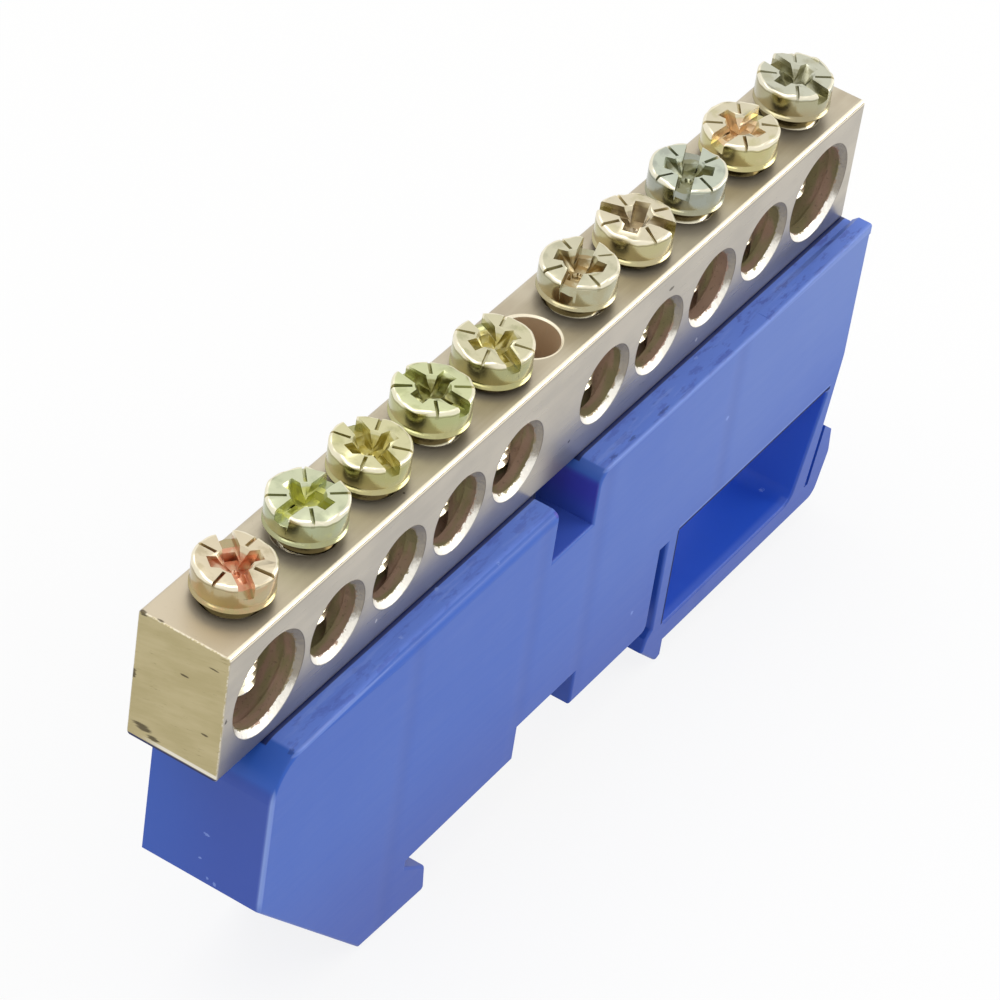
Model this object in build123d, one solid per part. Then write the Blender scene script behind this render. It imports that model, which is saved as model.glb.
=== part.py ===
from build123d import *
import os

os.makedirs("parts", exist_ok=True)

# A neutral terminal bar: a drawn brass bar with ten wire holes and ten clamp screws,
# carried on a blue moulded base that snaps onto a 35 mm mounting rail.
# Millimetres. X runs along the bar and away from its near end, Z is up, and -Y is the side
# that shows the wire holes. The origin is the middle of the rail, on the plane it seats on,
# below the middle of the bar's width.

# Mounting rail that the base clips onto
rail_width = 35.0
rail_play = 0.55

# Brass bar
bar_width = 8.0
bar_height = 12.0
bar_edge_radius = 0.35
bar_end_bevel = 0.12
bar_shift = 1.0
end_margin = 5.6
end_pitch = 8.6
pitch = 7.95
centre_pitch = 12.2

# Wire holes through the bar, with countersunk mouths and a little more room at the screw
wire_height = 5.75
wire_bore = 5.9
end_wire_bore = 7.8
mouth_bevel = 0.5
crossing_relief = 0.16
crossing_margin = 0.05

# Clamp screws, with the run of their drilled holes along the bar
screw_drift = [0.05, 0.35, 0.4, 0.45, 0.85, 0.4, 0.6, 0.25, 0.4, 0.05]
screw_lift = [0.85, 1.05, 0.85, 1.1, 0.5, 0.95, 0.55, 1.1, 0.8, 1.15]
screw_turn = [51, 177, 66, 85, 62, 16, 107, 23, 173, 79]
thread_diameter = 4.9
thread_play = 0.05
tapped_bevel = 0.15
tapped_reach = 3.4
shank_length = 9.2
tip_bevel = 0.5
neck_diameter = 4.3
neck_length = 0.8
head_diameter = 6.3
head_height = 2.65
head_edge_radius = 0.35
head_under_bevel = 0.15
recess_span = 4.3
recess_arm = 1.25
recess_depth = 1.6
recess_taper = 9
recess_mouth = 2.5
recess_floor = 0.9
recess_pit = 1.9
slot_width = 1.3
slot_depth = 1.05
nick_start = 1.4
nick_width = 0.25
nick_depth = 0.15

# Fixing screw that comes up through the base into the bar
fixing_head_diameter = 7.6
fixing_head_height = 2.8
fixing_length = 25.0
fixing_play = 0.25
fixing_shift = 0.1

# Moulded base: heights are above the rail seat
seat_height = 25.1
base_front = 6.65
near_end = 39.4
far_end = 45.5
near_corner_radius = 3.5
near_face_bottom = 10.8
near_round_radius = 0.95
near_round_reach = 21.0
near_round_growth = 14.0
toe_x = -23.65
toe_z = -5.15
heel_x = -14.5
heel_z = -5.7
lip_tip_x = -14.85
lip_tip_z = -2.95
lip_root_z = -0.75
edge_radius = 0.25
corner_radius = 0.4

# Recess for the fixing screw's head, and the notch above it
recess_room = 0.35
recess_roof = 3.45
notch_width = 5.85
notch_depth = 5.1
notch_corner_radius = 1.4

# Spring foot: a leg with a hook, a bar below the window and a slanting far wall
slit_width = 1.15
slit_top = 8.75
leg_width = 1.8
window_top = 8.95
window_top_right = 43.65
window_bottom_right = 40.35
window_bottom = -1.3
window_corner = 1.5
spring_bottom = -3.5
hook_root_z = -0.75
hook_shoulder = 0.75
hook_shoulder_z = -1.4
hook_reach = 1.2
hook_tip_z = -2.6
hook_bottom_z = -5.4
hook_heel_z = -5.1
hook_bottom_width = 1.75
hook_heel_width = 2.45
far_bend_z = 11.8
far_bend_radius = 2.0
wall_lean = 2.6
tab_neck_set = 1.35
tab_neck_z = 4.45
tab_gap = 0.4
tab_step = 0.6
tab_top_z = 3.1
tab_belly = 0.9
tab_belly_z = 0.6
tab_foot_set = 0.6

# Strip that stands a little proud beside the bar at the far end, rising to that end
lip_strip_length = 16.0
lip_strip_height = 0.5
lip_strip_start = 0.02
lip_strip_gap = 0.8
lip_strip_slope = 0.55
lip_strip_root = 0.5

# Coring on the hidden side, between ribs
skin = 2.2
outline_wall = 1.8
rib = 1.7
near_rib_x = -20.85
far_rib_x = 25.3
core_corner = 0.8


# Places worked out from the sizes above
bar_length = 2 * (end_margin + end_pitch + 3 * pitch) + centre_pitch
bar_start = bar_shift - bar_length / 2
bar_top = seat_height + bar_height
base_back = bar_width / 2
base_width = base_front + base_back
fixing_x = bar_shift + fixing_shift
rail_stop = rail_width / 2 + rail_play
tapped_diameter = thread_diameter + 2 * thread_play
recess_half = fixing_head_diameter / 2 + recess_room
recess_near_x = fixing_x - recess_half
recess_far_x = fixing_x + recess_half
notch_near_x = fixing_x - notch_width / 2
notch_far_x = fixing_x + notch_width / 2
notch_floor = seat_height - notch_depth
slit_x = rail_stop - slit_width
window_x = rail_stop + leg_width
wall_foot_x = far_end - wall_lean
tab_neck_x = far_end - tab_neck_set
tab_foot_x = far_end - tab_foot_set
tab_belly_x = far_end + tab_belly
hook_heel_x = rail_stop + hook_heel_width
hook_bottom_x = rail_stop + hook_bottom_width


def wire_places():
    near = [end_margin, end_margin + end_pitch]
    near += [near[1] + pitch * step for step in (1, 2, 3)]
    far = [bar_length - place for place in reversed(near)]
    return [bar_start + place for place in near + far]


def is_end(index):
    return index in (0, len(screw_turn) - 1)


def wire_hole(x, diameter):
    radius = diameter / 2
    mouth = radius + mouth_bevel
    at_centre = Pos(x, 0, seat_height + wire_height) * Rot(90, 0, 0)
    hole = at_centre * Cylinder(radius, bar_width + 2)
    hole += at_centre * Cylinder(radius + crossing_relief, tapped_diameter + 2 * crossing_margin)
    for side in (1, -1):
        turned = at_centre * Rot(0, 0 if side == 1 else 180, 0)
        cone = Cone(radius, mouth, mouth_bevel, align=(Align.CENTER, Align.CENTER, Align.MIN))
        hole += turned * Pos(0, 0, bar_width / 2 - mouth_bevel) * cone
    return hole


def tapped_hole(x, bottom):
    radius = tapped_diameter / 2
    depth = bar_top - bottom
    low = (Align.CENTER, Align.CENTER, Align.MIN)
    hole = Pos(x, 0, bottom) * Cylinder(radius, depth + 1, align=low)
    bevel = Cone(radius, radius + tapped_bevel, tapped_bevel, align=low)
    return hole + Pos(x, 0, bar_top - tapped_bevel) * bevel


def terminal_bar():
    low = (Align.MIN, Align.CENTER, Align.MIN)
    bar = Pos(bar_start, 0, seat_height) * Box(bar_length, bar_width, bar_height, align=low)
    bar = fillet(bar.edges().filter_by(Axis.X), bar_edge_radius)
    ends = bar.faces().sort_by(Axis.X)
    bar = chamfer(ends[0].edges() + ends[-1].edges(), bar_end_bevel)
    for index, x in enumerate(wire_places()):
        bar -= wire_hole(x, end_wire_bore if is_end(index) else wire_bore)
        bar -= tapped_hole(x + screw_drift[index], seat_height + wire_height - tapped_reach)
    bar -= tapped_hole(fixing_x, seat_height - 1)
    return bar


def cross_recess(top):
    cross = Rectangle(recess_span, recess_arm) + Rectangle(recess_arm, recess_span)
    cross = Pos(0, 0, top) * cross
    cut = extrude(cross, amount=-recess_depth, taper=recess_taper)
    high = (Align.CENTER, Align.CENTER, Align.MAX)
    return cut + Pos(0, 0, top) * Cone(recess_floor / 2, recess_mouth / 2, recess_pit, align=high)


def radial_nicks(top):
    # Four fine marks across the top, halfway between the recess's arms
    side = (Align.MIN, Align.CENTER, Align.MAX)
    nick = Pos(nick_start, 0, top) * Box(head_diameter / 2, nick_width, nick_depth, align=side)
    return [Rot(0, 0, angle) * nick for angle in (45, 135, 225, 315)]


def clamp_screw():
    # Stands on the underside of its head, with its slot along X
    head, shank, neck = head_diameter / 2, thread_diameter / 2, neck_diameter / 2
    with BuildPart() as turned:
        with BuildSketch(Plane.XZ):
            with BuildLine():
                Polyline(
                    (0, head_height),
                    (0, -shank_length),
                    (shank - tip_bevel, -shank_length),
                    (shank, -shank_length + tip_bevel),
                    (shank, -neck_length),
                    (neck, -neck_length),
                    (neck, 0),
                    (head - head_under_bevel, 0),
                    (head, head_under_bevel),
                    (head, head_height - head_edge_radius),
                )
                RadiusArc(
                    (head, head_height - head_edge_radius),
                    (head - head_edge_radius, head_height),
                    -head_edge_radius,
                )
                Line((head - head_edge_radius, head_height), (0, head_height))
            make_face()
        revolve(axis=Axis.Z)
    high = (Align.CENTER, Align.CENTER, Align.MAX)
    slot = Pos(0, 0, head_height) * Box(head_diameter + 1, slot_width, slot_depth, align=high)
    return turned.part - cross_recess(head_height) - slot - radial_nicks(head_height)


def fixing_screw():
    # Head down in the base's recess, tip up in the bar
    head, shank = fixing_head_diameter / 2, thread_diameter / 2
    low = (Align.CENTER, Align.CENTER, Align.MIN)
    cap = Cylinder(head, fixing_head_height, align=low)
    cap = fillet(cap.faces().sort_by(Axis.Z)[-1].edges(), 2 * head_edge_radius)
    cap -= cross_recess(fixing_head_height)
    stem = Pos(0, 0, -fixing_length) * Cylinder(shank, fixing_length, align=low)
    stem = chamfer(stem.faces().sort_by(Axis.Z)[0].edges(), tip_bevel)
    return Pos(fixing_x, 0, recess_roof) * Rot(180, 0, 0) * (cap + stem)


def profile(points):
    # A face in the XZ plane at the bar's back side
    return Plane.XZ.offset(-base_back) * make_face(Polyline(*points, close=True))


def rounded(face, corners):
    for x, z, radius in corners:
        spot = Vector(x, base_back, z)
        corner = face.vertices().sort_by_distance(spot)[0]
        face = fillet(corner, radius)
    return face


def through(face):
    # The face goes from the back of the base to its front
    return extrude(face, amount=base_width, dir=(0, -1, 0))


def base_outline():
    points = [
        (-near_end, near_face_bottom),
        (-near_end, seat_height),
        (notch_near_x, seat_height),
        (notch_near_x, notch_floor),
        (notch_far_x, notch_floor),
        (notch_far_x, seat_height),
        (far_end, seat_height),
        (far_end, far_bend_z),
        (tab_neck_x, tab_neck_z),
        (wall_foot_x, window_bottom),
        (wall_foot_x + tab_gap, window_bottom),
        (tab_neck_x + tab_gap, tab_neck_z),
        (far_end + tab_step, tab_top_z),
        (tab_belly_x, tab_belly_z),
        (tab_foot_x, spring_bottom),
        (hook_heel_x, spring_bottom),
        (hook_heel_x, hook_heel_z),
        (hook_bottom_x, hook_bottom_z),
        (rail_stop - hook_reach, hook_tip_z),
        (rail_stop - hook_shoulder, hook_shoulder_z),
        (rail_stop, hook_root_z),
        (rail_stop, slit_top),
        (slit_x, slit_top),
        (slit_x, 0),
        (recess_far_x, 0),
        (recess_far_x, recess_roof),
        (recess_near_x, recess_roof),
        (recess_near_x, 0),
        (-rail_stop, 0),
        (-rail_stop, lip_root_z),
        (lip_tip_x, lip_tip_z),
        (heel_x, heel_z),
        (toe_x, toe_z),
    ]
    corners = [
        (-near_end, seat_height, near_corner_radius),
        (notch_far_x, seat_height, notch_corner_radius),
        (far_end, seat_height, corner_radius),
        (far_end, far_bend_z, far_bend_radius),
        (tab_foot_x, spring_bottom, window_corner),
        (tab_belly_x, tab_belly_z, window_corner),
        (slit_x, 0, 2 * corner_radius),
        (lip_tip_x, lip_tip_z, corner_radius),
        (heel_x, heel_z, corner_radius),
        (hook_bottom_x, hook_bottom_z, corner_radius),
    ]
    return rounded(profile(points), corners)


def window():
    points = [
        (window_x, window_top),
        (window_top_right, window_top),
        (window_bottom_right, window_bottom),
        (window_x, window_bottom),
    ]
    corners = [
        (window_bottom_right, window_bottom, window_corner),
        (window_x, window_bottom, corner_radius),
        (window_top_right, window_top, corner_radius),
    ]
    return rounded(profile(points), corners)


def near_cores():
    top = seat_height - outline_wall
    slope = (toe_z - near_face_bottom) / (toe_x + near_end)
    inner_x = -near_end + outline_wall
    low_x = near_rib_x - rib / 2
    inner_bottom = near_face_bottom + outline_wall * 0.4
    low_z = max(inner_bottom + slope * (low_x - inner_x), toe_z + outline_wall)
    low_corner_x = inner_x + (low_z - inner_bottom) / slope
    first = [(inner_x, top), (low_x, top), (low_x, low_z), (low_corner_x, low_z), (inner_x, inner_bottom)]
    start, end = near_rib_x + rib / 2, recess_near_x - rib / 2
    second = [(start, top), (end, top), (end, outline_wall), (start, outline_wall)]
    return [(first, near_corner_radius - outline_wall), (second, core_corner)]


def far_cores():
    top = seat_height - outline_wall
    start, end = recess_far_x + rib, slit_x - outline_wall
    shelf = window_top + outline_wall
    first = [(start, top), (far_rib_x - rib / 2, top), (far_rib_x - rib / 2, shelf)]
    first += [(end, shelf), (end, outline_wall), (start, outline_wall)]
    begin, stop = far_rib_x + rib / 2, far_end - outline_wall
    second = [(begin, top), (stop, top), (stop, shelf + rib / 2), (begin, shelf)]
    return [(first, core_corner), (second, core_corner)]


def cores():
    solids = []
    for points, radius in near_cores() + far_cores():
        face = rounded(profile(points), [(x, z, core_corner) for x, z in points])
        solids.append(extrude(face, amount=base_width - skin, dir=(0, -1, 0)))
    return solids


def lip_section(x, height):
    # Across the bar: a slope up from beside it, a flat top and a rounded outer edge
    inner, outer = -base_back - lip_strip_gap, -base_front
    top, root = seat_height + height, seat_height - lip_strip_root
    crest = inner - lip_strip_slope
    with BuildSketch(Plane.YZ.offset(x)) as section:
        with BuildLine():
            Polyline((outer + edge_radius, top), (crest, top), (inner, seat_height), (inner, root))
            Polyline((inner, root), (outer, root), (outer, top - edge_radius))
            RadiusArc((outer, top - edge_radius), (outer + edge_radius, top), edge_radius)
        make_face()
    return section.sketch


def lip_strip():
    start = lip_section(far_end - lip_strip_length, lip_strip_start)
    return loft([start, lip_section(far_end, lip_strip_height)], ruled=True)


def edge_waste(x, radius):
    # What is cut off the front face's top edge to round it to this radius
    outer, top = -base_front, seat_height
    spare = 0.5
    with BuildSketch(Plane.YZ.offset(x)) as waste:
        with BuildLine():
            Polyline((outer, top - radius), (outer - spare, top - radius), (outer - spare, top + spare))
            Polyline((outer - spare, top + spare), (outer + radius, top + spare), (outer + radius, top))
            RadiusArc((outer, top - radius), (outer + radius, top), radius)
        make_face()
    return waste.sketch


def near_round():
    # The rounding of the near half's top edge grows, then stays the same as far as the notch
    full = notch_near_x - near_round_reach
    grown = edge_waste(full, near_round_radius)
    growing = loft([edge_waste(full - near_round_growth, edge_radius * 0.8), grown], ruled=True)
    return growing, extrude(grown, amount=near_round_reach + notch_width / 2, dir=(1, 0, 0))


def front_edges(base):
    # Edges of the front face, apart from the narrow slit beside the tab
    face = base.faces().sort_by(Axis.Y)[0]
    slit_reach = tab_gap * 3
    edges = []
    for edge in face.edges():
        middle = edge @ 0.5
        beside_tab = middle.X > wall_foot_x - slit_reach and window_bottom - 1 < middle.Z < tab_neck_z + 1
        if not beside_tab:
            edges.append(edge)
    return edges


def rail_base():
    base = through(base_outline()) - through(window())
    base = fillet(front_edges(base), edge_radius)
    for waste in near_round():
        base -= waste
    for core in cores():
        base -= core
    bore = Cylinder(thread_diameter / 2 + fixing_play, 4 * notch_depth + 4 * recess_roof)
    base -= Pos(fixing_x, 0, seat_height / 2) * bore
    return base + lip_strip()


def write(name, solid):
    solid.label = name
    export_step(solid, f"parts/{name}.step")


write("rail_base", rail_base())
write("terminal_bar", terminal_bar())
write("fixing_screw", fixing_screw())
screw = clamp_screw()
for index, x in enumerate(wire_places()):
    place = Pos(x + screw_drift[index], 0, bar_top + screw_lift[index])
    write(f"clamp_screw_{index + 1:02d}", place * Rot(0, 0, screw_turn[index]) * screw)
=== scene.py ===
import bpy
import math
from mathutils import Matrix, Vector


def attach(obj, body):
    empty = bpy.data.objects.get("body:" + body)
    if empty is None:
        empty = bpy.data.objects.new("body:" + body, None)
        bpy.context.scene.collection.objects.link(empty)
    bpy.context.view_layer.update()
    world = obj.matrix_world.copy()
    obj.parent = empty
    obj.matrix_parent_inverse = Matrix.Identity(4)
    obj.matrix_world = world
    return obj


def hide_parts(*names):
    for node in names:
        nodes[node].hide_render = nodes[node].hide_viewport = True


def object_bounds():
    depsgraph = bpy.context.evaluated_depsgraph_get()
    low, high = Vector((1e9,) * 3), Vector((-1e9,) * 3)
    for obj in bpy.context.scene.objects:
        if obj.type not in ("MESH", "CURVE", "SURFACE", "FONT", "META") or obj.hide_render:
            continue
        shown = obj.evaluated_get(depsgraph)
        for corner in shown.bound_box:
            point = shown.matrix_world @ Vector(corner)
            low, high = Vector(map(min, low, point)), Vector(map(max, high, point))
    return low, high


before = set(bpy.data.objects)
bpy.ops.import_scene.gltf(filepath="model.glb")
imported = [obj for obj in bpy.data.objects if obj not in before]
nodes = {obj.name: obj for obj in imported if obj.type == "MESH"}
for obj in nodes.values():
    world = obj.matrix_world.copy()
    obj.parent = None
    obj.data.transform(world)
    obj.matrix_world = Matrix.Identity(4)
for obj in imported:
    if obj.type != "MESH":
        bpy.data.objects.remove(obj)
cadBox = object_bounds()
mm = 0.001
pickGap = 0.01  # how far in millimetres an edge may lie off the height that it is picked at
pickSlope = 0.9  # how squarely a face has to point along Z to be picked


# Small helpers for modelling

def deselectAll():
    if bpy.context.object and bpy.context.object.mode == "EDIT":
        bpy.ops.object.mode_set(mode="OBJECT")
    bpy.ops.object.select_all(action="DESELECT")


def makeActive(piece):
    deselectAll()
    piece.select_set(True)
    bpy.context.view_layer.objects.active = piece


def applyPlace(piece):
    makeActive(piece)
    bpy.ops.object.transform_apply(location=True, rotation=True, scale=True)


def applyModifiers(piece):
    makeActive(piece)
    for modifier in list(piece.modifiers):
        bpy.ops.object.modifier_apply(modifier=modifier.name)


def addModifier(piece, kind, **settings):
    modifier = piece.modifiers.new(kind.lower(), kind)
    for name, value in settings.items():
        setattr(modifier, name, value)


def removePiece(piece):
    mesh = piece.data
    bpy.data.objects.remove(piece)
    bpy.data.meshes.remove(mesh)


def cutWith(piece, cutter):
    addModifier(piece, "BOOLEAN", operation="DIFFERENCE", object=cutter, solver="EXACT")
    applyModifiers(piece)
    removePiece(cutter)


def selectWhere(piece, test, mode="FACE"):
    # Picks faces by their centre and normal, or edges by their two ends, in edit mode
    bpy.ops.object.mode_set(mode="OBJECT")
    mesh = piece.data
    for group in (mesh.vertices, mesh.edges, mesh.polygons):
        for item in group:
            item.select = False
    if mode == "FACE":
        for face in mesh.polygons:
            face.select = test(face.center, face.normal)
    else:
        for edge in mesh.edges:
            first, second = (mesh.vertices[i].co for i in edge.vertices)
            edge.select = test(first, second)
    bpy.ops.object.mode_set(mode="EDIT")
    bpy.ops.mesh.select_mode(type=mode)


def extrudeUp(rise, widen=1.0):
    bpy.ops.mesh.extrude_region_move(TRANSFORM_OT_translate={"value": (0, 0, rise * mm)})
    if widen != 1.0:
        bpy.ops.transform.resize(value=(widen, widen, 1))


def dress(node, material):
    # A CAD node keeps its slots and takes the material in them
    for slot in nodes[node].material_slots:
        slot.material = material


# Shader maths

class Wire:
    # One socket of a material, so that sums on it read as plain Python
    def __init__(self, tree, out):
        self.tree = tree
        self.out = out

    def add(self, kind, settings, sockets, output=0):
        node = self.tree.nodes.new(kind)
        for name, value in settings.items():
            setattr(node, name, value)
        for name, value in sockets.items():
            if isinstance(value, Wire):
                self.tree.links.new(value.out, node.inputs[name])
            else:
                node.inputs[name].default_value = value
        # A node that ends the tree has no socket to give
        return Wire(self.tree, node.outputs[output] if node.outputs else None)

    def sum(self, operation, first, second=None):
        sockets = {0: first}
        if second is not None:
            sockets[1] = second
        return self.add("ShaderNodeMath", {"operation": operation}, sockets)

    def __add__(self, other):
        return self.sum("ADD", self, other)

    def __radd__(self, other):
        return self.sum("ADD", other, self)

    def __sub__(self, other):
        return self.sum("SUBTRACT", self, other)

    def __rsub__(self, other):
        return self.sum("SUBTRACT", other, self)

    def __mul__(self, other):
        return self.sum("MULTIPLY", self, other)

    def __rmul__(self, other):
        return self.sum("MULTIPLY", other, self)

    def __truediv__(self, other):
        return self.sum("DIVIDE", self, other)

    def __rtruediv__(self, other):
        return self.sum("DIVIDE", other, self)

    def __gt__(self, other):
        return self.sum("GREATER_THAN", self, other)

    def __lt__(self, other):
        return self.sum("LESS_THAN", self, other)

    def __abs__(self):
        return self.sum("ABSOLUTE", self)

    def root(self):
        return self.sum("SQRT", self)

    def least(self, other):
        return self.sum("MINIMUM", self, other)

    def most(self, other):
        return self.sum("MAXIMUM", self, other)

    def step(self, low, high):
        # 0 at low, 1 at high and smooth between, whichever of the two is greater
        sockets = {0: self, 1: low, 2: high}
        return self.add("ShaderNodeMapRange", {"interpolation_type": "SMOOTHSTEP"}, sockets)

    def band(self, low, high, soft):
        # 1 between low and high, with soft ends
        return self.step(low - soft, low + soft) * (1 - self.step(high - soft, high + soft))

    def blend(self, first, second):
        # Self is the share of the second colour; the Mix node's colours are its sockets 6 and 7
        sockets = {0: self, 6: first, 7: second}
        settings = {"data_type": "RGBA", "blend_type": "MIX", "clamp_factor": True}
        return self.add("ShaderNodeMix", settings, sockets, 2)

    def mapped(self, **sockets):
        # The vector moved, turned or squeezed
        return self.add("ShaderNodeMapping", {"vector_type": "POINT"}, {"Vector": self, **sockets})


def colour(r, g, b):
    # A colour as seen on a screen, 0 to 255, turned into the shader's own scale
    def straight(value):
        value = value / 255
        return value / 12.92 if value <= 0.04045 else ((value + 0.055) / 1.055) ** 2.4
    return (straight(r), straight(g), straight(b), 1.0)


def lay(tone, mask, shade, share=None):
    # A shade over a tone where the mask is, at its full strength or a share of it
    return (mask * share if share else mask).blend(tone, shade)


def startMaterial(name):
    material = bpy.data.materials.new(name)
    material.use_nodes = True
    material.node_tree.nodes.clear()
    return material, Wire(material.node_tree, None)


def finishMaterial(start, shader):
    start.add("ShaderNodeOutputMaterial", {}, {0: shader})


def inMillimetres(start, centre=(0, 0, 0), turn=0.0):
    # Object coordinates in millimetres from a centre, turned about Z
    place = start.add("ShaderNodeTexCoord", {}, {}, "Object")
    moved = place.mapped(Location=tuple(-value for value in centre), Scale=(1 / mm, 1 / mm, 1 / mm))
    return moved.mapped(Rotation=(0, 0, -math.radians(turn))) if turn else moved


def parts(vector):
    return [vector.add("ShaderNodeSeparateXYZ", {}, {0: vector}, axis) for axis in range(3)]


def noise(vector, stretch, scale=1.0, detail=3.0, roughness=0.5, lean=0.0):
    # Fractal noise, drawn out along an axis where its stretch is small, with a lean about X in degrees
    if lean:
        vector = vector.mapped(Rotation=(math.radians(lean), 0, 0))
    sockets = {"Scale": scale, "Detail": detail, "Roughness": roughness}
    return vector.add("ShaderNodeTexNoise", {}, {"Vector": vector.mapped(Scale=stretch), **sockets})


marks = {
    "fade": (0.55, 1.0),  # shares of its reach between which a mark fades out
    "raggedness": 2.2,
}


def dab(vector, centre, size, ragged):
    # A soft, ragged spot round a centre, with its reach along each axis
    shift = tuple(-place / value for place, value in zip(centre, size))
    near = vector.mapped(Location=shift, Scale=tuple(1 / value for value in size))
    far = vector.add("ShaderNodeVectorMath", {"operation": "LENGTH"}, {0: near}, "Value")
    return 1 - (far + (ragged - 0.5) * marks["raggedness"]).step(*marks["fade"])


def bump(height, strength, distance):
    return height.add("ShaderNodeBump", {}, {"Height": height, "Strength": strength, "Distance": distance})


# Stage, lamps and camera

studio = {
    "floorSize": 6.0,
    "floorGlow": 0.86,
    "floorTint": (0.86, 0.86, 0.86, 1),
    "lens": 188.48,
    "sensor": 36,
    "clip": (0.01, 20),
    "cameraPlace": (-0.27372, -0.14373, 0.28322),
    "cameraRight": (0.5480, -0.8279, 0.1195),
    "cameraUp": (0.4927, 0.4349, 0.7537),
    "cameraBack": (-0.6760, -0.3542, 0.6462),
    "roomHigh": (0.78, 0.78, 0.77, 1),
    "roomLow": (0.45, 0.45, 0.46, 1),
    "roomFade": (-0.1, 0.7),
    "white": (1, 1, 1, 1),
    "lampAim": (0, 0, 0.02),
}

lamps = {
    "topPanel": {"place": (-0.10, 0.20, 0.80), "size": (0.8, 0.6), "power": 2.6, "tint": (1.0, 0.99, 0.97)},
    "keyPanel": {"place": (0.55, -0.50, 0.33), "size": (0.45, 0.35), "power": 1.9, "tint": (1.0, 0.97, 0.93)},
}


def setCamera():
    data = bpy.data.cameras.new("photoCamera")
    data.lens = studio["lens"]
    data.sensor_width = studio["sensor"]
    data.clip_start, data.clip_end = studio["clip"]
    camera = bpy.data.objects.new("photoCamera", data)
    bpy.context.collection.objects.link(camera)
    columns = [Vector(studio[key]).normalized() for key in ("cameraRight", "cameraUp", "cameraBack")]
    turn = Matrix(columns).transposed().to_4x4()
    camera.matrix_world = Matrix.Translation(studio["cameraPlace"]) @ turn
    bpy.context.scene.camera = camera


def addLamp(name, lamp):
    data = bpy.data.lights.new(name, "AREA")
    data.shape = "RECTANGLE"
    data.size, data.size_y = lamp["size"]
    data.energy = lamp["power"]
    data.color = lamp["tint"]
    piece = bpy.data.objects.new(name, data)
    bpy.context.collection.objects.link(piece)
    piece.location = lamp["place"]
    aim = Vector(studio["lampAim"]) - Vector(lamp["place"])
    piece.rotation_euler = aim.to_track_quat("-Z", "Y").to_euler()


def seenRays(start):
    # 1 for what the camera sees, straight or in a mirror or through glass
    straight, mirrored, through = (start.add("ShaderNodeLightPath", {}, {}, name) for name in (
        "Is Camera Ray", "Is Glossy Ray", "Is Transmission Ray"))
    return straight.most(mirrored).most(through)


def makeFloorMaterial():
    material, start = startMaterial("whiteFloor")
    glow = start.add("ShaderNodeEmission", {}, {"Color": studio["white"], "Strength": 1.0})
    matt = start.add("ShaderNodeBsdfDiffuse", {}, {"Color": studio["floorTint"]})
    share = seenRays(start) * studio["floorGlow"]
    finishMaterial(start, start.add("ShaderNodeMixShader", {}, {0: share, 1: matt, 2: glow}))
    return material


def setStage():
    deselectAll()
    bpy.ops.mesh.primitive_plane_add(size=studio["floorSize"], location=(0, 0, cadBox[0].z))
    floor = bpy.context.object
    floor.name = "floor"
    applyPlace(floor)
    floor.data.materials.append(makeFloorMaterial())


def setWorld():
    world = bpy.data.worlds.new("softRoom")
    bpy.context.scene.world = world
    world.use_nodes = True
    world.node_tree.nodes.clear()
    start = Wire(world.node_tree, None)
    height = parts(start.add("ShaderNodeTexCoord", {}, {}, "Generated"))[2]
    room = height.step(*studio["roomFade"]).blend(studio["roomLow"], studio["roomHigh"])
    sky = seenRays(start).blend(room, studio["white"])
    background = start.add("ShaderNodeBackground", {}, {"Color": sky, "Strength": 1.0})
    start.add("ShaderNodeOutputWorld", {}, {0: background})


setCamera()
setStage()
setWorld()
for name, lamp in lamps.items():
    addLamp(name, lamp)
bpy.context.scene.view_settings.view_transform = "Standard"
print("stage, lamps and camera set")


# Blue moulding

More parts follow.
